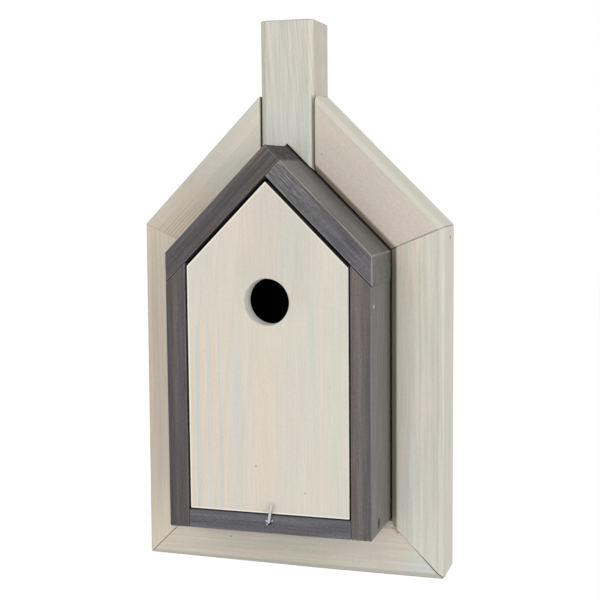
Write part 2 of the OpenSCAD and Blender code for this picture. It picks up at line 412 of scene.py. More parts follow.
def make_post():
    """The chimney post, its foot notched over the ridge of the box."""
    low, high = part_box("chimney_post")
    post = block("chimney_post", low, high)
    saw(post, (0, 0, 0), (1, 0, 0), keep=True)
    pick_edges(post, ends(post, lambda a, b: lies(a, b, x=0, z=low.z)))
    with opened(post):
        bpy.ops.transform.translate(value=(0, 0, high.x))
    for x in (low.x, high.x):
        bevel(post, lambda a, b: lies(a, b, x=x, y=low.y), OUTER_CHAMFER)
    return post


rail = make_rail()
frame_boards = {"frame_bottom_rail": rail}
for side, word in SIDES:
    stile_name, rafter_name = f"frame_{word}_stile", f"frame_{word}_rafter"
    frame_boards[stile_name], shoulder = make_stile(side, stile_name)
    inner = x_of(side, *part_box(stile_name))[1]
    frame_boards[rafter_name] = make_rafter(side, rafter_name, shoulder, inner)
frame_boards["chimney_post"] = post = make_post()

for board in frame_boards.values():
    ease(board, FRAME_ARRIS)
for board, point, away in trims:
    saw(board, point, away)

# ---------------------------------------------------------------- the box

BOX_ARRIS = 0.7 * MM
# How far the box's joints stand open: at each end of the floor, and under each roof board
JOINT_GAP = 0.18 * MM
ROOF_GAP = {-1: 0.25 * MM, 1: 0.35 * MM}


def gable(board, ridge_z):
    """Saws both slopes of a gable."""
    for way in (-1, 1):
        saw(board, (0, 0, ridge_z), (way, 0, 1))


def make_side(side, name):
    """A side board, its top sloped to carry the roof."""
    low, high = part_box(name)
    board = block(name, low, high)
    saw(board, (x_of(side, low, high)[1], 0, high.z), (side, 0, 1))
    return board


def make_left_roof():
    """The board that runs through to the ridge."""
    low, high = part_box("roof_left_board")
    board = block("roof_left_board", low, high)
    gable(board, high.z)
    saw(board, (low.x, 0, low.z + ROOF_GAP[-1]), (1, 0, -1))
    return board


def make_right_roof():
    """The board that butts under the left one."""
    left_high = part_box("roof_left_board")[1]
    low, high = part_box("roof_right_board")
    board = block("roof_right_board", low, high)
    saw(board, (high.x, 0, left_high.z - high.x), (1, 0, 1))
    saw(board, (high.x, 0, low.z + ROOF_GAP[1]), (-1, 0, -1))
    saw(board, (left_high.x, 0, left_high.z - left_high.x), (-1, 0, 1))
    return board


def make_inner(name, gabled):
    """A board between the sides, with a gable or without."""
    low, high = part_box(name)
    gap = Vector((JOINT_GAP, 0, 0))
    board = block(name, low + gap, high - gap)
    if gabled:
        gable(board, high.z)
    return board


box_boards = {f"box_{word}_side": make_side(side, f"box_{word}_side") for side, word in SIDES}
box_boards["roof_left_board"] = make_left_roof()
box_boards["roof_right_board"] = make_right_roof()
box_boards["box_floor"] = make_inner("box_floor", False)
box_boards["box_back_panel"] = make_inner("box_back_panel", True)
for board in box_boards.values():
    ease(board, BOX_ARRIS)

# ---------------------------------------------------------------- the door

DOOR_ARRIS, RIM_ROUND = 0.3 * MM, 0.8 * MM

record = frame["record"]
mounts = {mount["name"]: mount for mount in record["mounts"]}
entrance = Vector(mounts["entrance_hole"]["pos_m"])
entrance_r = mounts["entrance_hole"]["dims"]["r_mm"] * MM


def rim(a, b):
    """Whether an edge lies on the entrance hole's rim."""
    round_hole = all(
        abs(math.hypot(end.x - entrance.x, end.z - entrance.z) - entrance_r) < ON_LINE
        for end in (a, b)
    )
    return round_hole and abs(a.y - b.y) < CLOSE


door_low, door_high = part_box("front_door")
door = block("front_door", door_low, door_high)
gable(door, door_high.z)
ease(door, DOOR_ARRIS)
past = Vector((0, 20 * MM, 0))
cut(door, rod("cutter", entrance - past, entrance + past, entrance_r, 96))
bevel(door, rim, RIM_ROUND, 3)

# ---------------------------------------------------------------- fasteners

FIT = 0.05 * MM
fittings = []


def fitted(piece, body, node):
    smooth(piece, 40)
    seat(piece, body, "zinc_steel", node)
    fittings.append(piece)
    return piece


def countersunk(name, start, way, head_r, shank_r, length):
    """A wood screw with a flat head, a cross recess and a point."""
    way = Vector(way)
    edge = 0.12 * MM
    rim_end = 0.35 * MM
    screw = turned(name, start, way, [
        (0.0, head_r - edge), (edge, head_r), (rim_end, head_r),
        (rim_end + head_r - shank_r, shank_r), (length - 2 * shank_r, shank_r),
        (length - 0.2 * MM, 0.25 * shank_r), (length, 0.08 * shank_r),
    ])
    recess_depth, recess_half = 1.1 * MM, 0.55 * head_r
    recess_width = 0.1125 * head_r
    across = Vector((1, 1, 1)) - Vector(abs(c) for c in way)
    for long in (Vector((0, 0, 1)), Vector((1, 1, 0)) * across):
        size = long * recess_half + (across - long) * recess_width
        a, b = start - size - way * MM, start + size + way * recess_depth
        low = Vector(min(p, q) for p, q in zip(a, b))
        high = Vector(max(p, q) for p, q in zip(a, b))
        cut(screw, block("driver", low, high))
    return screw


def make_brads():
    """Mitre brads, punched under the wood."""
    inset, length, sink = 8 * MM, 34 * MM, 0.7 * MM
    low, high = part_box("mitre_brads")
    radius, y = (high.y - low.y) / 2, (high.y + low.y) / 2
    shoulder_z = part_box("frame_right_stile")[1].z
    brads = []
    for side, word in SIDES:
        stile, rafter = frame_boards[f"frame_{word}_stile"], frame_boards[f"frame_{word}_rafter"]
        planed_in, planed_up = (SHOULDER_IN, FOOT_UP) if side < 0 else (0, 0)
        places = (
            ((side * high.x + planed_in, y, shoulder_z - inset), (-side, 0, 0), rafter),
            ((side * (high.x - inset), y, rail_low.z + planed_up), (0, 0, 1), rail),
        )
        for start, way, other in places:
            start, way = Vector(start), Vector(way)
            bore((stile, other), start, way, length + FIT, radius + 2 * FIT)
            brads.append(turned("brad", start, way, [
                (sink, 0.8 * radius), (sink + 0.1 * MM, radius), (length, radius)], 16))
    return joined("mitre_brads_steel", brads)


def make_frame_screws():
    """Screws from inside the box into the stiles."""
    low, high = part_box("frame_screws")
    y, head_r, shank_r = (low.y + high.y) / 2, (high.y - low.y) / 2, 2 * MM
    sunk = 0.2 * MM
    inner_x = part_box("box_right_side")[0].x
    length = high.x - inner_x
    screws = []
    for side, word in SIDES:
        boards = (box_boards[f"box_{word}_side"], frame_boards[f"frame_{word}_stile"])
        way = Vector((side, 0, 0))
        for z in (low.z + head_r, high.z - head_r):
            start = Vector((side * inner_x, y, z))
            bore(boards, start, way, length + FIT, shank_r + FIT)
            cut(boards[0], turned("countersink", start, way, [
                (-0.1 * MM, head_r + 0.35 * MM), (0.55 * MM, head_r + 0.1 * MM),
                (0.6 * MM + head_r - shank_r, shank_r + 0.1 * MM)]))
            screws.append(
                countersunk("screw", start + way * sunk, way, head_r, shank_r, length - sunk))
    return joined("frame_screws_steel", screws)


def make_staples():
    """Staples through the sides into the floor, driven under the stain."""
    wire, bend_r, leg = 1 * MM, 0.5 * MM, 12 * MM
    # The slot that each staple leaves in the side
    slot_width, slot_depth, sink = 2.8 * MM, 2.8 * MM, 1.6 * MM
    low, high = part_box("floor_staples")
    side_low, side_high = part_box("box_right_side")
    crown, middle_z = high.z - low.z, (low.z + high.z) / 2
    crown_x, leg_end = side_high.x - sink, side_low.x - leg

    def bar(side, y, inner, outer, rise, thick):
        xs = sorted((side * inner, side * outer))
        return block("bar", Vector((xs[0], y - thick, middle_z - rise)),
                     Vector((xs[1], y + thick, middle_z + rise)))

    staples = []
    for side, word in SIDES:
        for y in (low.y + wire / 2, high.y - wire / 2):
            staple = bar(side, y, leg_end, crown_x, crown / 2, wire / 2)
            bevel(staple, lambda a, b: lies(a, b, x=side * crown_x) and abs(a.z - b.z) < CLOSE,
                  bend_r, 4)
            cut(staple, bar(side, y, leg_end - MM, crown_x - wire, crown / 2 - wire, wire))
            staples.append(staple)
            cut(box_boards[f"box_{word}_side"], bar(
                side, y, side_high.x - slot_depth, side_high.x + MM, crown / 2 + 4 * FIT,
                slot_width / 2))
    return joined("floor_staples_wire", staples)


def make_pivot_nail(side, word):
    """One of the door's pivot nails, with its domed head let into the side board."""
    node = f"pivot_nail_{word}"
    low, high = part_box(node)
    outer, inner = (abs(x) for x in x_of(side, low, high))
    head_r, shank_r = 0.84 * (high.y - low.y) / 2, 1.25 * MM
    length = outer - inner
    start = Vector((side * outer, (low.y + high.y) / 2, (low.z + high.z) / 2))
    way = Vector((-side, 0, 0))
    board = box_boards[f"box_{word}_side"]
    head_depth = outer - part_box("box_right_side")[1].x + 0.3 * MM
    bore((board, door), start, way, length + FIT, shank_r + FIT)
    bore((board,), start, way, head_depth, head_r + FIT, 32)
    return turned(f"{node}_steel", start, way, [
        (0.0, 0.35 * head_r), (0.06 * MM, 0.62 * head_r), (0.16 * MM, 0.84 * head_r),
        (0.3 * MM, 0.97 * head_r), (0.42 * MM, head_r), (0.5 * MM, head_r),
        (0.55 * MM, 0.95 * head_r), (0.55 * MM, shank_r),
        (length - 2.4 * shank_r, shank_r), (length, 0.1 * shank_r)])


HOOK_R, HOOK_DEPTH = 1.12 * MM, 14 * MM


def make_hook(root):
    """The screw hook: a wire that leaves the floor's edge, bends up and leans to the right."""
    bend_r, rise, lean = 1.98 * MM, 14 * MM, math.radians(11)
    hook = disc("latch_hook_wire", (0, HOOK_DEPTH, 0), HOOK_R, 32, (math.radians(90), 0, 0))
    with drawn(hook):
        draw((0, -HOOK_DEPTH, 0))
        bpy.ops.mesh.spin(steps=12, angle=math.radians(90), center=(0, 0, bend_r), axis=(1, 0, 0))
        draw((0, 0, rise - bend_r - 0.4 * HOOK_R))
        # The rounded tip, in rings: how far each rises and how wide it is, as shares of the radius
        width = 1
        for step, next_width in ((0.2, 0.94), (0.14, 0.78), (0.06, 0.5)):
            grow = next_width / width
            draw((0, 0, step * HOOK_R), (grow, grow, 1), (0, -bend_r, rise))
            width = next_width
    move(hook, root, (0, lean, 0))
    return hook


RING_OUT, RING_IN = 1.8 * MM, HOOK_R + 0.25 * MM
# Each tooth's angle from the right, and how far it reaches
TEETH = ((36, 3.2 * MM), (148, 3.0 * MM), (221, 2.5 * MM), (308, 2.15 * MM))


def make_collar(root):
    """A toothed washer: a ring, with its teeth bent up."""
    low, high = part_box("latch_collar")
    middle = Vector((root.x, low.y, root.z))
    into = Vector((0, 1, 0))
    thick = high.y - low.y
    root_x, half = RING_OUT - 0.4 * MM, 0.62 * MM
    ring = turned("latch_collar_steel", middle, into, [
        (0.3 * MM, RING_OUT - 0.1 * MM), (0.36 * MM, RING_OUT), (thick, RING_OUT)], 48)
    bore((ring,), middle, into, 2 * MM, RING_IN, 48)
    collar = [ring]
    for angle, reach in TEETH:
        tooth = block("tooth", Vector((root_x, 0, -half)), Vector((reach, thick, half)))
        bevel(tooth, lambda a, b: lies(a, b, x=reach) and abs(a.y - b.y) > CLOSE, 0.35 * MM, 3)
        bevel(tooth, lambda a, b: lies(a, b, y=0), 0.12 * MM, 2)
        move(tooth, middle, (0, -math.radians(angle), 0))
        collar.append(tooth)
    bore((box_boards["box_floor"],), middle, into, HOOK_DEPTH + MM, HOOK_R + FIT, lead=0)
    return joined("latch_collar_steel", collar)


def make_hanger():
    """The keyhole plate, let into the post's back, and its two screws."""
    low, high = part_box("hanger_plate")
    slot_end = Vector(mounts["hanger_keyhole"]["pos_m"])
    mouth_r, slot_r, key_depth = 4.5 * MM, 2.5 * MM, 7 * MM
    mouth = slot_end - Vector((0, 0, 8 * MM))

    def keyhole(front, mouth_r, slot_r):
        for place, radius in ((mouth, mouth_r), (slot_end, slot_r)):
            yield rod("key", Vector((0, MM, place.z)), Vector((0, front, place.z)), radius, 48)
        yield block("key", Vector((-slot_r, front, mouth.z)), Vector((slot_r, MM, slot_end.z)))

    loose = 2 * FIT
    cut(post, block("pocket", low - Vector((loose,) * 3), high + Vector((loose, MM, loose))))
    for cutter in keyhole(-key_depth, mouth_r + 0.4 * MM, mouth_r + 0.4 * MM):
        cut(post, cutter)
    plate = block("hanger_plate_steel", low, high)
    bevel(plate, lambda a, b: abs(a.x - b.x) < CLOSE and abs(a.z - b.z) < CLOSE, 2.5 * MM, 5)
    for cutter in keyhole(low.y - MM, mouth_r, slot_r):
        cut(plate, cutter)

    low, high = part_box("hanger_screws")
    head_r, length, sunk = high.x, -low.y, 0.05 * MM
    shank_r = head_r / 2
    way = Vector((0, -1, 0))
    screws = []
    for z in (low.z + head_r, high.z - head_r):
        start = Vector((0, 0, z))
        cut(plate, turned("countersink", start, way, [
            (-0.1 * MM, head_r + 0.2 * MM), (0.4 * MM, head_r + 0.1 * MM),
            (0.45 * MM + shank_r, shank_r + 0.1 * MM), (3 * MM, shank_r + 0.1 * MM)]))
        bore((post,), start, way, length + FIT, shank_r + FIT, lead=0)
        screws.append(countersunk("screw", start + way * sunk, way, head_r, shank_r, length - sunk))
    ease(plate, 0.12 * MM)
    return plate, joined("hanger_screws_steel", screws)


fitted(make_brads(), "case", "mitre_brads")
fitted(make_frame_screws(), "case", "frame_screws")
fitted(make_staples(), "case", "floor_staples")
for side, word in SIDES:
    fitted(make_pivot_nail(side, word), "case", f"pivot_nail_{word}")
joints = {joint["name"]: joint for joint in record["behaviour"]["joints"]}
hook_root = Vector(joints["latch_turn"]["pos_m"])
hook = fitted(make_hook(hook_root), "latch", "latch_hook")
collar = fitted(make_collar(hook_root), "case", "latch_collar")
plate, plate_screws = make_hanger()
fitted(plate, "case", "hanger_plate")
fitted(plate_screws, "case", "hanger_screws")

# ---------------------------------------------------------------- wood, finished and set

for boards, slot in ((frame_boards, "washed_wood"), (box_boards, "dark_wood")):
    for name, board in boards.items():
        finish_wood(board)
        seat(board, "case", slot, name)
finish_wood(door)
seat(door, "door", "door_wood", "front_door")

# ---------------------------------------------------------------- finishes

def tone(red, green, blue):
    """A colour as a paint chart gives it, for the shader."""
    parts = [c / 255 for c in (red, green, blue)]
    return tuple(c / 12.92 if c < 0.04045 else ((c + 0.055) / 1.055) ** 2.4 for c in parts) + (1,)


def in_metres(point):
    return tuple(c * MM for c in point)


def unit(way):
    return tuple(Vector(way).normalized())


# The scale at which a wave texture's rings are a metre apart
RING_SCALE = 0.314


class Finish:
    """The nodes that colour a material or a world."""

    def __init__(self, owner, shader="Principled BSDF"):
        owner.use_nodes = True
        self.nodes = owner.node_tree.nodes
        self.links = owner.node_tree.links
        self.shader = self.nodes[shader]

    def fill(self, node, inputs):
        for key, value in inputs.items():
            if isinstance(value, bpy.types.NodeSocket):
                self.links.new(value, node.inputs[key])
            else:
                node.inputs[key].default_value = value

    def add(self, kind, inputs, output=0, **settings):
        node = self.nodes.new("ShaderNode" + kind)
        for key, value in settings.items():
            setattr(node, key, value)
        self.fill(node, inputs)
        return node.outputs[output]

    def math(self, operation, a, b=0.0):
        return self.add("Math", {0: a, 1: b}, operation=operation)

    def product(self, *factors):
        total = factors[0]
        for factor in factors[1:]:
            total = self.math("MULTIPLY", total, factor)
        return total

    def vector(self, operation, a, b=(0, 0, 0), output=0):
        return self.add("VectorMath", {0: a, 1: b}, output, operation=operation)

    def past(self, place, point, way):
        """How far the place lies past the point, in the direction way."""
        away = self.vector("SUBTRACT", place, in_metres(point))
        return self.vector("DOT_PRODUCT", away, unit(way), "Value")

    def spread(self, value, low, high, to_low=0.0, to_high=1.0, smooth=False):
        """Stretches the range from low to high and clamps it."""
        return self.add(
            "MapRange",
            {"Value": value, "From Min": low, "From Max": high, "To Min": to_low, "To Max": to_high},
            interpolation_type="SMOOTHSTEP" if smooth else "LINEAR",
        )

    def blend(self, share, a, b, mode="MIX"):
        """Mixes two colours, which a mix node takes at its sockets 6 and 7."""
        return self.add("Mix", {0: share, 6: a, 7: b}, 2, data_type="RGBA", blend_type=mode)

    def ramp(self, value, tones, low, high):
        """The tones, spaced evenly over the values from low to high."""
        node = self.nodes.new("ShaderNodeValToRGB")
        node.color_ramp.interpolation = "EASE"
        stops = node.color_ramp.elements
        while len(stops) < len(tones):
            stops.new(0.5)
        for i, shade in enumerate(tones):
            stops[i].position = low + (high - low) * i / (len(tones) - 1)
            stops[i].color = tone(*shade)
        self.fill(node, {0: value})
        return node.outputs[0]

    def stretched(self, place, squeeze, scale, detail=2.0, rough=0.5):
        """Noise drawn out along the grain, where its places are squeezed."""
        long = self.vector("MULTIPLY", place, (1, 1, squeeze))
        return self.add("TexNoise", {
            "Vector": long, "Scale": scale, "Detail": detail, "Roughness": rough})

    def band(self, colour, place, point, way, depth, shade, share):
        """Another tone from depth short of the plane through point and onwards, on the side way."""
        near = self.spread(
            self.past(place, point, way), -1.2 * depth * MM, -0.8 * depth * MM, 0.0, share, True)
        return self.blend(near, colour, tone(*shade))

    def spot(self, colour, place, point, size, shade, share, length):
        """A small mark at a point of the board, length times as tall as it is wide."""
        away = self.vector("SUBTRACT", place, in_metres(point))
        away = self.vector("MULTIPLY", away, (1, 1, 1 / length))
        far = self.vector("LENGTH", away, output="Value")
        near = self.spread(far, 0.4 * size * MM, size * MM, share, 0.0, True)
        return self.blend(near, colour, tone(*shade))

    def field_share(self, seen, place, share, fades, streaks, bars):
        """Where a field shows, as far as its fades, streaks and bars let it."""
        mask = share
        for point, way, start, end in fades:
            near = self.spread(self.past(seen, point, way), start * MM, end * MM, smooth=True)
            mask = self.product(near, mask)
        if streaks:
            scale, squeeze, low, high = streaks
            streaky = self.spread(self.stretched(place, squeeze, scale), low, high, smooth=True)
            mask = self.product(streaky, mask)
        if bars:
            way, step, first, low, high = bars
            across = self.vector("DOT_PRODUCT", seen, unit(way), "Value")
            turns = self.product(across, math.tau / (step * MM))
            wave = self.math("COSINE", self.math("SUBTRACT", turns, math.tau * first / step))
            mask = self.product(self.spread(wave, low, high, smooth=True), mask)
        return mask

    def year_rings(self, place, spacing, tilt, wander):
        """The late wood of each year, round the heart, along a grain that leans and wanders."""
        grain = self.add("Mapping", {
            "Vector": place, "Rotation": (math.radians(tilt[0]), math.radians(tilt[1]), 0),
        })
        drift = self.add("TexNoise", {
            "Vector": self.vector("MULTIPLY", grain, (1, 1, 0.16)), "Scale": 16, "Detail": 1.5,
        }, "Color")
        shift = self.vector("SUBTRACT", drift, (0.5, 0.5, 0.5))
        shift = self.vector("MULTIPLY", shift, (wander * MM * 2,) * 3)
        ringed = self.vector("ADD", grain, shift)
        year = self.add("TexWave", {
            "Vector": ringed, "Scale": RING_SCALE / (spacing * MM), "Distortion": 0,
        }, "Fac", wave_type="RINGS", rings_direction="Z", wave_profile="SAW")
        return self.math("POWER", year, 3)


def past_plane(axis, sign):
    """A maker of fades past the plane at one x, y or z, from start to end."""
    way = tuple(sign * (i == axis) for i in range(3))
    return lambda at, start, end: (tuple(at * abs(c) for c in way), way, start, end)


left_of, right_of = past_plane(0, -1), past_plane(0, 1)
before, behind = past_plane(1, -1), past_plane(1, 1)
below, above = past_plane(2, -1), past_plane(2, 1)


def field(shade, share, *fades, streaks=None, bars=None):
    """A tone on part of a board, all over or in streaks along the grain or in bars across way.
    Each fade is (point, way, start, end): the tone comes in between start and end past the
    point. Streaks are (scale, squeeze, low, high) of their noise, and bars are
    (way, step, first, low, high) of their wave."""
    return shade, share, fades, streaks, bars


# The noises of the grain: their squeeze along it, scale, detail and roughness
PATCH_NOISE = (0.25, 22)
FIBRE_NOISE = (0.03, 800, 3, 0.6)
GRIT_NOISE = (0.4, 1100, 1)
RUB_NOISE = (0.3, 120)


def timber(name, turn, pith, spacing, tones, ring_tone, ring_share, tints, tint_share=0.3,
           patches=(0.4, 0.6), tilt=(0, 0), wander=3, streak=90, tint_scale=200, fibre_share=0.06,
           speckle=0.03, arris_tone=None, arris_share=0.4, fields=(), bands=(), marks=(),
           rough=(0.62, 0.78), relief=0.12, sheen=0.5):
    """Softwood under a stain or a wash, in millimetres. turn brings the grain upright, pith is
    the heart's place beside the board, and spacing is the width of the year rings. Each band
    along an edge is (point, way, depth, shade, share), and each mark is
    (point, size, shade, share, length)."""
    material = bpy.data.materials.new(name)
    f = Finish(material)
    seen = f.add("TexCoord", {}, "Object")
    place = f.add("Mapping", {
        "Vector": seen,
        "Rotation": tuple(math.radians(a) for a in turn),
        "Location": (-pith[0] * MM, -pith[1] * MM, 0),
    })
    late = f.year_rings(place, spacing, tilt, wander)
    patch = f.spread(f.stretched(place, *PATCH_NOISE), *patches, smooth=True)
    fibre = f.stretched(place, *FIBRE_NOISE)

    # The stain's own tones, and tints that drift over them in wide and narrow streaks
    colour = f.ramp(f.stretched(place, 0.035, streak, 3, 0.55), tones, 0.34, 0.66)
    wide = f.spread(f.stretched(place, 0.12, 0.16 * tint_scale), 0.4, 0.6)
    narrow = f.spread(f.stretched(place, 0.018, tint_scale), 0.42, 0.58)
    either = f.math("ADD", f.product(wide, 0.5), f.product(narrow, 0.5))
    colour = f.blend(tint_share, colour, f.blend(either, tone(*tints[0]), tone(*tints[1])))
    for shade, *where in fields:
        colour = f.blend(f.field_share(seen, place, *where), colour, tone(*shade))
    colour = f.blend(f.product(late, patch, ring_share), colour, tone(*ring_tone))

    # Fine fibres and grit, then the arrises (worn on the box, painted shade on the frame, painted
    # highlight on the door), and the marks
    fine = f.spread(fibre, 0.3, 0.7, 1 - fibre_share, 1 + fibre_share)
    grit = f.stretched(place, *GRIT_NOISE)
    fine = f.product(fine, f.spread(grit, 0.3, 0.7, 1 - speckle, 1 + speckle))
    colour = f.blend(1.0, colour, f.add("CombineColor", {0: fine, 1: fine, 2: fine}), "MULTIPLY")
    if arris_tone:
        edge = f.add("Attribute", {}, "Fac", attribute_name="arris")
        wear_and_light = f.spread(f.stretched(place, *RUB_NOISE), 0.35, 0.6, 0.3, 1.0)
        colour = f.blend(f.product(edge, wear_and_light, arris_share), colour, tone(*arris_tone))
    for band in bands:
        colour = f.band(colour, seen, *band)
    for mark in marks:
        colour = f.spot(colour, seen, *mark)

    height = f.math("ADD", f.product(late, f.product(patch, 0.6)), fibre)
    f.fill(f.shader, {
        "Base Color": colour,
        "Roughness": f.spread(fibre, 0.3, 0.7, rough[1], rough[0]),
        "Specular IOR Level": sheen,
        "Normal": f.add("Bump", {"Strength": relief, "Distance": 0.4 * MM, "Height": height}),
    })
    return material


def metal(name, shade, rough):
    """Bare or stained metal with a fine mottle."""
    material = bpy.data.materials.new(name)
    f = Finish(material)
    colour = tone(*shade)
    mottle = f.add("TexNoise", {
        "Vector": f.add("TexCoord", {}, "Object"), "Scale": 1400, "Detail": 3})
    darker = tuple(c * 0.8 for c in colour[:3]) + (1,)
    f.fill(f.shader, {
        "Base Color": f.blend(f.spread(mottle, 0.35, 0.65), darker, colour),
        "Roughness": f.spread(mottle, 0.3, 0.7, rough - 0.07, rough + 0.1),
        "Metallic": 1,
        "Normal": f.add("Bump", {"Strength": 0.08, "Distance": 0.2 * MM, "Height": mottle}),
    })
    return material


# The least cosine between a face's normal and a way that it looks along
FACING = 0.9


def dress(piece, material, end=None, grain=(0, 0, 1)):
    """Gives the piece its finish, and another to the faces that cut across the grain."""
    piece.data.materials.clear()
    piece.data.materials.append(material)
    if end:
        piece.data.materials.append(end)
        grain = Vector(grain).normalized()
        for polygon in piece.data.polygons:
            if abs(polygon.normal.dot(grain)) > FACING:
                polygon.material_index = 1


def reface(piece, material, wanted):
    """Another finish on the wanted faces."""
    piece.data.materials.append(material)
    for polygon in piece.data.polygons:
        if wanted(polygon):
            polygon.material_index = len(piece.data.materials) - 1

# ---------------------------------------------------------------- looks

# Places are in the part's frame, in millimetres.

# How a board is turned to bring its grain upright
UPRIGHT, ACROSS, LEANING_RIGHT, LEANING_LEFT = (0, 0, 0), (0, 90, 0), (0, -45, 0), (0, 45, 0)
GRAIN_OF = {UPRIGHT: (0, 0, 1), ACROSS: (1, 0, 0), LEANING_RIGHT: (1, 0, 1), LEANING_LEFT: (1, 0, -1)}

POST_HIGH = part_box("chimney_post")[1] / MM
SIDE_LOW, SIDE_HIGH = (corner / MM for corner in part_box("box_right_side"))
RIDGE = (0, 0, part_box("roof_left_board")[1].z / MM)
RAIL_LOW, RAIL_HIGH = (corner / MM for corner in (rail_low, rail_high))
# Where the stiles' inner sides stand
INNER_X = RAIL_HIGH.x - stock / MM

# Fades that keep a tone on one side of a board
FRAME_FRONT = before(RAIL_LOW.y, -2.4, -1.2)
POST_RIGHT = right_of(POST_HIGH.x, -0.6, -0.1)
BOX_FRONT = before(SIDE_LOW.y, -1.5, -0.5)
BOX_RIGHT = right_of(SIDE_HIGH.x, -0.8, -0.2)
ROOF_RIGHT = (RIDGE, (1, 0, 1), -0.8, -0.2)

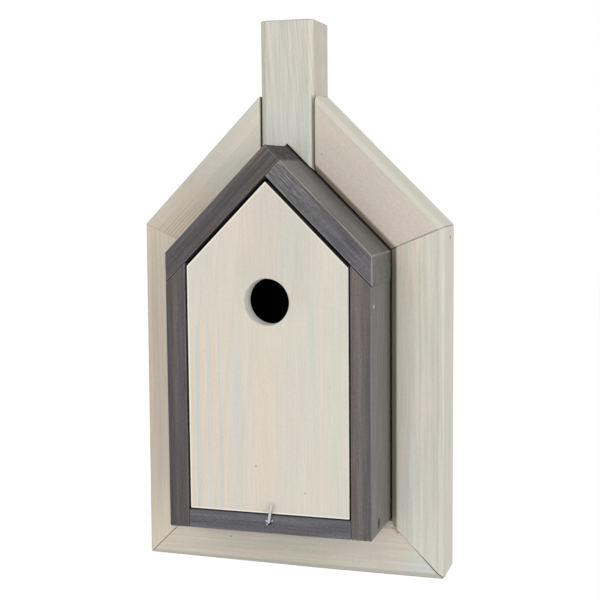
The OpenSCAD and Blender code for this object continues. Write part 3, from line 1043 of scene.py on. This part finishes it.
frame_wash = dict(
    ring_tone=(160, 142, 122), tints=((203, 208, 190), (226, 206, 190)),
    # The arrises are darker with painted shade along each edge
    arris_tone=(190, 187, 170), arris_share=0.5,
)
frame_looks = {
    "frame_right_stile": dict(
        turn=UPRIGHT, pith=(-30, 60), spacing=3.6, tilt=(1.2, 0), streak=170, ring_share=0.22,
        tones=((209, 210, 197), (223, 220, 208), (232, 226, 213)), tint_share=0.32, tint_scale=420,
        fields=[
            # Orange streaks at the top, and painted shade on the inner side beside the box
            field((236, 208, 184), 0.5, left_of(96, -4, 6), above(-150, -30, 30),
                  streaks=(420, 0.02, 0.5, 0.58)),
            field((196, 195, 184), 0.5, left_of(94, 0, 13)),
            # Pale streaks between it and the outer chamfer and side, darker with painted shade, and
            # bluish ones at the foot
            field((240, 234, 221), 0.35, right_of(93, -1, 2), left_of(100, -1, 3),
                  streaks=(300, 0.02, 0.4, 0.55)),
            field((200, 200, 188), 0.5, right_of(104, -2, 5)),
            field((214, 218, 226), 0.4, right_of(84, -1.5, 2), left_of(93, -1.5, 2),
                  below(-215, -35, 35), streaks=(90, 0.05, 0.4, 0.56)),
        ],
        # The inner chamfer is dark olive with painted shade from the box beside it
        bands=[((INNER_X, 0, 0), (-1, 0, 0), 4.4, (149, 144, 121), 0.8)],
        marks=[((RAIL_HIGH.x, -15.2, -93.2), 1.7, (100, 88, 62), 0.85, 1.6)]),
    "frame_left_stile": dict(
        turn=UPRIGHT, pith=(-200, 10), spacing=3, streak=110, ring_share=0.15,
        tones=((220, 207, 188), (230, 218, 199), (238, 227, 210)),
        tints=((222, 212, 195), (232, 208, 188))),
    "frame_left_rafter": dict(
        turn=LEANING_RIGHT, pith=(-10, 60), spacing=3.4, patches=(0.3, 0.4), streak=70, ring_share=0.1,
        tones=((219, 215, 201), (224, 219, 206), (229, 223, 210)),
        fields=[
            # Pinkish towards the shoulder, and greenish along the outer edge
            field((222, 202, 184), 0.6, ((-70, 0, -40), (-1, 0, -1), -10, 16)),
            field((212, 212, 198), 0.5, ((-111, 0, -84), (-1, 0, 1), -9, -2)),
            # Brown late wood near the shoulder, and painted shade on the rafter's end in the gap at
            # the post
            field((168, 144, 122), 0.42, ((-72, 0, -40), (-1, 0, -1), 6, 24),
                  ((-67, 0, -61), (0.59, 0, -0.81), -1.5, 1.5), streaks=(160, 0.05, 0.3, 0.46),
                  bars=((1, 0, -1), 2.25, 0, 0, 0.9)),
            field((62, 54, 42), 0.95, right_of(-20.75, 0, 0.1), behind(-36, -0.4, 0.6)),
        ]),
    "frame_right_rafter": dict(
        turn=LEANING_LEFT, pith=(30, 90), spacing=4, streak=60, ring_share=0, tint_share=0.1,
        tones=((215, 204, 191), (217, 206, 194), (219, 208, 196)), tint_scale=60,
        tints=((214, 206, 194), (228, 207, 196)), speckle=0.05, fibre_share=0.02, relief=0.04,
        marks=[((25.6, RAIL_LOW.y, -34.1), 1.1, (164, 150, 132), 0.45, 1)],
        # Paler and greener along the outer chamfer: partly its own tone, partly painted light where
        # the chamfer faces up
        bands=[((POST_HIGH.x, 0, 8.25), (1, 0, 1), 3.9, (208, 207, 192), 0.75),
               # Painted shade, brownish, along the inner chamfer above the box's roof
               ((INNER_X, 0, -101.05), (-1, 0, -1), 4.4, (172, 146, 122), 0.6)]),
    "frame_bottom_rail": dict(
        turn=ACROSS, pith=(250, 60), spacing=3, ring_share=0.14, tint_share=0.24,
        tones=((203, 196, 180), (213, 206, 190), (221, 214, 200)),
        fields=[
            # Paler to the right, then pinkish, and bluish beside the right mitre
            field((214, 208, 196), 0.5, right_of(20, 0, 30)),
            field((222, 208, 193), 0.45, right_of(54, -8, 8), above(-319, -6, 6)),
            field((208, 212, 208), 0.75, ((88, 0, -325), (1, 0, -0.8), -7, 8)),
            # Painted shade in the right mitre's joint, near the front
            field((70, 62, 48), 0.9, ((INNER_X, 0, RAIL_HIGH.z), (MITRE_FALL, 0, 1), -0.4, -0.15),
                  below(-316, -6, 8), FRAME_FRONT),
        ],
        # Painted shade along the bottom: greyer over the lowest 3.4 mm, as on a chamfer that faces
        # down, and darker still in the lowest 0.7 mm
        bands=[((0, 0, RAIL_LOW.z), (0, 0, -1), 3.4, (184, 182, 172), 0.85),
               ((0, 0, RAIL_LOW.z), (0, 0, -1), 0.7, (130, 128, 112), 0.7)],
        marks=[((-47.1, RAIL_LOW.y, -316.4), 0.9, (120, 100, 80), 0.6, 1),
               ((76.9, RAIL_LOW.y, -300.7), 1.7, (184, 146, 124), 0.75, 0.8),
               ((78.6, RAIL_LOW.y, -301.9), 2, (172, 136, 116), 0.7, 0.8),
               ((80.3, RAIL_LOW.y, -303.2), 2, (156, 124, 106), 0.75, 0.8)]),
    "chimney_post": dict(
        turn=UPRIGHT, pith=(-30, 90), spacing=2.6, tilt=(0, 1.5), patches=(0.35, 0.55), streak=260,
        tones=((200, 200, 188), (207, 205, 193), (215, 211, 199)), ring_tone=(176, 170, 154),
        ring_share=0.2, tint_scale=300,
        fields=[
            # Pale streaks on both halves, and a paler foot
            field((240, 226, 211), 0.36, left_of(4, -8, 6), above(10, -50, 20),
                  streaks=(90, 0.04, 0.4, 0.52), bars=((1, 0, 0.08), 4.7, -17.4, 0.1, 0.9)),
            field((228, 228, 218), 0.4, right_of(-4, -6, 6), streaks=(140, 0.04, 0.4, 0.54),
                  bars=((1, 0, 0.1), 2.4, 3, 0, 0.9)),
            field((216, 219, 211), 0.35, below(5, -14, 14)),
            # The right side is beige towards the front and darker all over with painted shade, and
            # painted shade in olive lies on the right chamfer and side beside the right rafter
            field((208, 198, 181), 0.5, POST_RIGHT, before(-20, -8, 8)),
            field((186, 184, 166), 0.45, POST_RIGHT),
            field((118, 114, 94), 0.7, right_of(17.8, -0.3, 0.5), below(6.5, -2, 2)),
        ],
        bands=[((0, 0, POST_HIGH.z), (0, 0, 1), 0.8, (168, 174, 172), 0.6)]),
}
for name, look in frame_looks.items():
    dress(frame_boards[name], timber(name.replace("_", " ") + " wash", **{**frame_wash, **look}))

box_stain = dict(
    ring_tone=(116, 110, 110), ring_share=0.2, streak=140, tints=((66, 68, 80), (88, 74, 66)),
    tint_share=0.25, tint_scale=260, fibre_share=0.22, speckle=0.12, arris_tone=(132, 128, 128),
    arris_share=0.35, rough=(0.5, 0.65), relief=0.25, sheen=0.4,
)
box_looks = {
    "box_left_side": dict(
        turn=UPRIGHT, pith=(-170, -60), spacing=2.6, tones=((72, 67, 68), (85, 78, 78), (99, 92, 90)),
        tints=((72, 72, 80), (88, 80, 78))),
    "box_right_side": dict(
        turn=UPRIGHT, pith=(220, -20), spacing=2.8, tint_share=0.3,
        tones=((86, 80, 79), (100, 93, 89), (117, 108, 102)), tints=((82, 80, 88), (98, 86, 84)),
        # The outer side is lighter with painted light
        fields=[field((120, 117, 113), 0.7, BOX_RIGHT)],
        # Painted shade along the sloped top, in the joint under the roof board
        bands=[((SIDE_LOW.x, 0, SIDE_HIGH.z), (1, 0, 1), 0.45, (52, 46, 38), 0.7)],
        # Painted shade in the slot that the staple leaves
        marks=[((SIDE_HIGH.x, -69, -288.2), 3.4, (12, 11, 10), 1, 1.4),
               ((61.6, SIDE_LOW.y, -294.9), 0.6, (176, 168, 160), 0.7, 1),
               ((66.8, SIDE_LOW.y, -295.1), 0.7, (170, 162, 154), 0.7, 1),
               ((70.6, SIDE_LOW.y, -294.8), 0.6, (176, 168, 160), 0.7, 1)]),
    "roof_left_board": dict(
        turn=LEANING_RIGHT, pith=(-90, -30), spacing=2.2,
        tones=((60, 57, 62), (76, 71, 73), (94, 88, 87)), tints=((68, 69, 78), (86, 77, 73)),
        fields=[field((112, 94, 80), 0.6, ((-20, 0, -60), (1, 0, 1), -8, 28),
                      streaks=(300, 0.02, 0.44, 0.56))]),
    "roof_right_board": dict(
        turn=LEANING_LEFT, pith=(60, -60), spacing=1.8, patches=(0.35, 0.6), speckle=0.2,
        tones=((70, 69, 73), (82, 81, 84), (96, 94, 97)), tints=((74, 75, 80), (92, 88, 86)),
        ring_tone=(120, 118, 121), ring_share=0.14, arris_tone=(148, 145, 142), arris_share=0.9,
        fields=[
            # The board's top; and its end, which is lighter with painted light as on the box's right
            # side
            field((117, 116, 112), 0.8, ROOF_RIGHT),
            field((114, 113, 108), 0.6, BOX_RIGHT),
            field((84, 85, 84), 0.5, BOX_RIGHT, streaks=(110, 0.4, 0.5, 0.62)),
            # Worn patches on the top near the ridge, and on the front
            field((94, 90, 88), 0.6, ROOF_RIGHT, right_of(34, -14, 14),
                  streaks=(120, 0.15, 0.36, 0.52)),
            field((114, 112, 115), 0.4, BOX_FRONT, right_of(30, -12, 12),
                  streaks=(260, 0.1, 0.38, 0.56)),
            # Streaks along the top, and hairlines along the front
            field((76, 70, 66), 0.7, ROOF_RIGHT, behind(-58, -14, 16), streaks=(160, 0.03, 0.3, 0.5)),
            field((120, 106, 94), 0.25, ROOF_RIGHT, ((25, 0, -53), (-1, 0, 1), -20, 20),
                  streaks=(300, 0.02, 0.42, 0.56)),
            field((184, 182, 182), 0.45, BOX_FRONT, ((25, 0, -75), (-1, 0, 1), -16, 16),
                  streaks=(2400, 0.03, 0.5, 0.62)),
        ]),
    "box_floor": dict(
        turn=ACROSS, pith=(220, -30), spacing=2, tones=((75, 75, 81), (91, 91, 96), (107, 107, 112)),
        tints=((82, 82, 93), (95, 88, 90)), speckle=0.2,
        # Painted shade along its top, under the door
        bands=[((0, 0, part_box("box_floor")[1].z / MM), (0, 0, 1), 0.5, (24, 23, 22), 0.9)]),
    "box_back_panel": dict(
        turn=UPRIGHT, pith=(30, 40), spacing=3, tones=((70, 66, 68), (82, 77, 78), (96, 91, 90)),
        tint_share=0.35),
}
END_TONES = ((59, 59, 57), (71, 71, 68), (82, 82, 79))
# Boards with a paler cut end
PALER_END = {"roof_left_board": 1.075, "roof_right_board": 1.12}
for name, look in box_looks.items():
    side_look = {**box_stain, **look}
    paler = PALER_END.get(name, 1)
    end_look = {
        **side_look, "tones": [[c * paler for c in shade] for shade in END_TONES], "tint_share": 0.1,
        "fields": (), "rough": (0.85, 0.95), "sheen": 0.1,
    }
    label = name.replace("_", " ")
    dress(box_boards[name], timber(label + " stain", **side_look),
          timber(label + " end grain", **end_look), GRAIN_OF[look["turn"]])

# The back panel's inner face, near black: painted shade of the box's dark inside
inside_shade = timber(
    "nest wall", turn=UPRIGHT, pith=(30, 40), spacing=3, ring_tone=(18, 17, 17), ring_share=0.2,
    tones=((10, 9, 10), (12, 11, 11), (14, 12, 12)), tints=((12, 11, 12), (14, 12, 12)), sheen=0.2)
reface(box_boards["box_back_panel"], inside_shade, lambda polygon: -polygon.normal.y > FACING)

DOOR_LOW, DOOR_HIGH = (corner / MM for corner in (door_low, door_high))
DOOR_FOOT, DOOR_PEAK = tuple(DOOR_LOW), (0, DOOR_LOW.y, DOOR_HIGH.z)
# A cream for the painted highlight along the door's edges, and a dark tone for the painted shade on
# its edge faces in the gaps round it
EDGE_HIGHLIGHT, GAP_SHADE = (254, 251, 236), (62, 56, 48)
# Each edge of the door: a point on it, its way out, and how much painted highlight shows along it
door_edges = (
    (DOOR_PEAK, (1, 0, 1), 0.4), (DOOR_PEAK, (-1, 0, 1), 0.8), (DOOR_FOOT, (-1, 0, 0), 0.8),
    (tuple(DOOR_HIGH), (1, 0, 0), 0.2), (DOOR_FOOT, (0, 0, -1), 0.9),
)
# Where the board's left side is striped with bluish and orange late wood
striped = (left_of(-26, -2, 6), below(-150, -20, 20))
dress(door, timber(
    "door wash", turn=UPRIGHT, pith=(34, 60), spacing=5.2, tilt=(2.2, -0.4), wander=7, streak=120,
    tones=((214, 213, 200), (221, 216, 204), (228, 220, 207)), ring_tone=(190, 189, 176),
    ring_share=0.12, patches=(0.46, 0.6), tints=((211, 213, 200), (228, 213, 197)), tint_share=0.6,
    # The arrises are cream with painted highlight
    tint_scale=130, fibre_share=0.035, relief=0.05, arris_tone=(250, 247, 232), arris_share=1,
    fields=[
        field((198, 206, 203), 0.5, *striped, streaks=(60, 0.02, 0.36, 0.5),
              bars=((1, 0, 0), 8.3, -34.2, 0.1, 0.6)),
        field((236, 213, 184), 0.5, *striped, streaks=(60, 0.02, 0.36, 0.5),
              bars=((1, 0, 0), 8.3, -38.7, 0.1, 0.6)),
        field((205, 212, 207), 0.4, right_of(-25.5, -1.5, 1.5), left_of(-19.5, -1.5, 1.5),
              below(-165, -20, 20), streaks=(60, 0.02, 0.3, 0.5)),
        # The upper half is warmer, and darker above the entrance
        field((221, 214, 201), 0.5, above(-150, -30, 30)),
        field((207, 197, 184), 0.4, right_of(-18, -6, 6), left_of(34, -6, 8), above(-140, -12, 14)),
        # A greenish cloud to the right in the gable, and a pinkish one to the left
        field((202, 207, 197), 0.5, ((8, 0, -112), (1, 0, -0.2), -4, 5),
              ((24, 0, -112), (-1, 0, 0.2), -6, 4), above(-112, -16, 12),
              streaks=(40, 0.3, 0.34, 0.56)),
        field((228, 212, 197), 0.4, right_of(-24, -6, 5), left_of(-8, -6, 5), above(-98, -12, 10)),
        # Behind its face the board is paler, as the entrance's wall shows: paler wood there, and
        # painted light that lifts the wall out of its shade
        field((230, 234, 226), 0.8, behind(DOOR_LOW.y, 0.4, 1.2)),
    ],
    bands=[(point, way, 1.1, EDGE_HIGHLIGHT, share) for point, way, share in door_edges]
    # Thin dark bands on the door's edge faces: painted shade in the gaps round the door
    + [(point, way, 0.12, GAP_SHADE, 0.85) for point, way, _ in door_edges],
    marks=[((-8.8, DOOR_LOW.y, -248.6), 0.9, (150, 142, 122), 0.6, 1.4),
           ((26.4, DOOR_LOW.y, -265.6), 0.8, (150, 144, 128), 0.5, 1.6),
           ((44.6, DOOR_LOW.y, -191.7), 0.9, (180, 176, 162), 0.4, 1.4)]))

zinc = metal("bright zinc", (206, 208, 212), 0.28)
darkened = metal("stained zinc", (58, 57, 62), 0.5)
for piece in fittings:
    dress(piece, zinc)
# The washer's ring is dark, and only its teeth are bright zinc
reface(collar, darkened, lambda polygon: (
    (polygon.center - hook_root).xz.length < RING_OUT + 0.05 * MM))
# The underside of the hook's bend is dark: a painted reflection of the dark floor board below it
reface(hook, darkened, lambda polygon: polygon.center.z < hook_root.z + 0.1 * HOOK_R)

# ---------------------------------------------------------------- floor and light

FLOOR_SIZE, FLOOR_DROP = 12, 0.3
# How bright the floor is where it is seen, and how much of its shading that hides
FLOOR_GLOW, GLOW_SHARE = 1.08, 0.85
# The world's strength as a light, and as a backdrop
SKY_LIGHT, SKY_SEEN = 0.6, 1

bpy.ops.mesh.primitive_plane_add(size=FLOOR_SIZE, location=(0, 0, CAD_BOX[0].z - FLOOR_DROP))
floor = bpy.context.active_object
floor.name = "floor"


def backdrop(f):
    """One where the camera, a reflection or a clear piece looks straight at the backdrop."""
    path = f.nodes.new("ShaderNodeLightPath").outputs
    seen = f.math("MAXIMUM", path["Is Camera Ray"], path["Is Glossy Ray"])
    return f.math("MAXIMUM", seen, path["Is Transmission Ray"])


def pale_floor():
    """A pale floor that keeps its shadows, and shows white round them."""
    material = bpy.data.materials.new("pale floor")
    f = Finish(material)
    f.fill(f.shader, {"Base Color": (0.92, 0.92, 0.92, 1), "Roughness": 0.9})
    share = f.product(backdrop(f), GLOW_SHARE)
    glow = f.add("Emission", {"Strength": FLOOR_GLOW})
    mix = f.add("MixShader", {0: share, 1: f.shader.outputs[0], 2: glow})
    f.fill(f.nodes["Material Output"], {"Surface": mix})
    return material


def studio():
    """An even pale world."""
    world = bpy.data.worlds.new("studio")
    f = Finish(world, "Background")
    strength = f.spread(backdrop(f), 0, 1, SKY_LIGHT, SKY_SEEN)
    f.fill(f.shader, {"Color": (1, 1, 1, 1), "Strength": strength})
    return world


def lamp(name, place, size, power):
    """A soft lamp that looks at the part's origin."""
    place = Vector(place)
    bpy.ops.object.light_add(type="AREA", location=place)
    light = bpy.context.active_object
    light.name = name
    light.data.size = size
    light.data.energy = power
    light.rotation_euler = (-place).to_track_quat("-Z", "Y").to_euler()


dress(floor, pale_floor())
bpy.context.scene.world = studio()
lamp("key light", (2.0, -1.3, 0.6), 1.5, 19)
lamp("fill light", (-0.5, -2.2, 0.6), 1.5, 9)
bpy.context.scene.view_settings.view_transform = "Standard"
